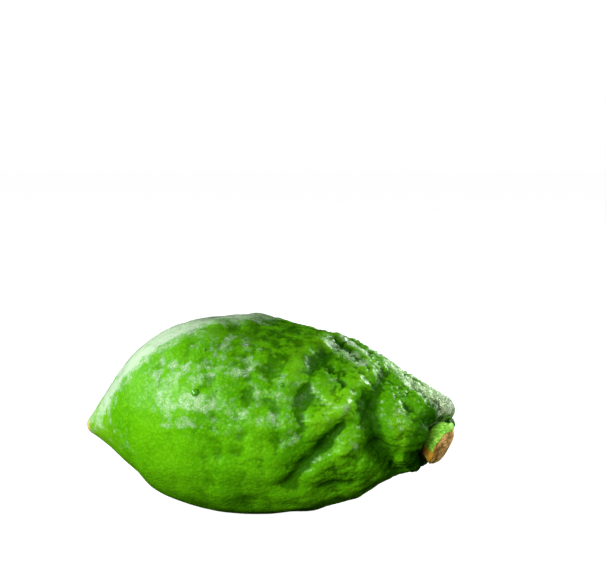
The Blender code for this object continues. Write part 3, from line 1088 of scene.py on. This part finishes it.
# %% Ground, world and lights
GROUND_RADIUS, GROUND_SIDES = 4.0, 96
GROUND_SEEN = (0.2, 0.2, 0.2, 1)
GROUND_GLOW = (0.985, 0.985, 0.985, 1)
GROUND_BOUNCE = (0.045, 0.045, 0.045, 1)
BLACK = (0.0, 0.0, 0.0, 1)
SKY_GREEN = (0.012, 0.024, 0.006, 1)
SKY_WHITE = (1, 1, 1, 1)
WHITE, BOUNCE = (1, 1, 1), (0.90, 1.0, 0.55)
LIGHT_DISTANCE = 0.8
# Lights: azimuth and elevation in degrees, width and height in metres, power in watts, and colour.
LIGHTS = {
    "key": (-27, 17, 0.28, 0.28, 5.2, WHITE),
    "sparkle": (-64, 30, 0.13, 0.12, 2.8, WHITE),
    "side": (-66, 12, 0.50, 0.30, 2.2, WHITE),
    "front": (-10, 18, 0.40, 0.30, 1.7, BOUNCE),
    "fill": (52, 20, 0.40, 0.30, 1.3, BOUNCE),
    "upper": (90, 36, 0.30, 0.30, 0.8, WHITE),
    "rim_left": (-115, 28, 0.74, 0.50, 2.75, WHITE),
    "rim_right": (130, 28, 0.64, 0.34, 10.0, WHITE),
}
# The black card: its height in mm, its finish and its corners in mm.
CARD_HEIGHT = 62
CARD_BLACK, CARD_ROUGHNESS = (0.01, 0.01, 0.01, 1), 0.9
CARD_CORNERS = [(-30, -60), (45, -60), (45, -38), (18, -38), (18, 60), (-12, 60), (-12, -38), (-30, -38)]


def ground():
    """A disc that the camera sees white, and that reflects nearly nothing on the fruit."""
    mesh = bpy.data.meshes.new("ground")
    disc = bmesh.new()
    bmesh.ops.create_circle(disc, cap_ends=True, radius=GROUND_RADIUS, segments=GROUND_SIDES)
    disc.to_mesh(mesh)
    disc.free()
    material, tree, shader = plain_material("white_ground")
    tree.nodes.remove(shader)
    path = tree.nodes.new("ShaderNodeLightPath").outputs
    diffuse = node_of(tree, "ShaderNodeBsdfDiffuse", {"Color": GROUND_SEEN}).outputs[0]
    glow = node_of(tree, "ShaderNodeEmission", {"Color": GROUND_GLOW}).outputs[0]
    seen = node_of(tree, "ShaderNodeAddShader", {0: diffuse, 1: glow}).outputs[0]
    shade = blended(tree, path["Is Glossy Ray"], GROUND_BOUNCE, BLACK)
    unseen = node_of(tree, "ShaderNodeBsdfDiffuse", {"Color": shade}).outputs[0]
    choice = node_of(tree, "ShaderNodeMixShader", {0: path["Is Camera Ray"], 1: unseen, 2: seen})
    out = next(node for node in tree.nodes if node.type == "OUTPUT_MATERIAL")
    tree.links.new(choice.outputs[0], out.inputs["Surface"])
    mesh.materials.append(material)
    return added("ground", mesh)


def sky():
    """A world that is white to the camera and a faint green to everything else."""
    world = bpy.data.worlds.new("studio")
    world.use_nodes = True
    tree = world.node_tree
    background = next(node for node in tree.nodes if node.type == "BACKGROUND")
    path = tree.nodes.new("ShaderNodeLightPath")
    colour = blended(tree, path.outputs["Is Camera Ray"], SKY_GREEN, SKY_WHITE)
    tree.links.new(colour, background.inputs["Color"])
    bpy.context.scene.world = world


def softbox(name, azimuth, elevation, width, height, power, colour):
    """An area light that looks at the lemon."""
    light = bpy.data.lights.new(name, "AREA")
    light.shape = "RECTANGLE"
    light.size, light.size_y = width, height
    light.energy = power
    light.color = colour
    obj = added(name, light)
    way = way_to(azimuth, elevation)
    obj.location = middle + way * LIGHT_DISTANCE
    obj.rotation_euler = (-way).to_track_quat("-Z", "Y").to_euler()
    obj.visible_camera = False


def black_card():
    """A matt black card over the fruit that the camera does not see."""
    mesh = bpy.data.meshes.new("flag")
    corners = [Vector((x, y, CARD_HEIGHT)) * MM for x, y in CARD_CORNERS]
    mesh.from_pydata(corners, [], [range(len(corners))])
    material, tree, shader = plain_material("black_card")
    dress(tree, shader, {"Base Color": CARD_BLACK, "Roughness": CARD_ROUGHNESS})
    mesh.materials.append(material)
    card = added("flag", mesh)
    card.visible_camera = False
    return card


card = black_card()
ground()
sky()
for name, values in LIGHTS.items():
    softbox(name, *values)
bpy.context.scene.view_settings.view_transform = "Standard"
print("lights:", [light.name for light in bpy.data.lights])
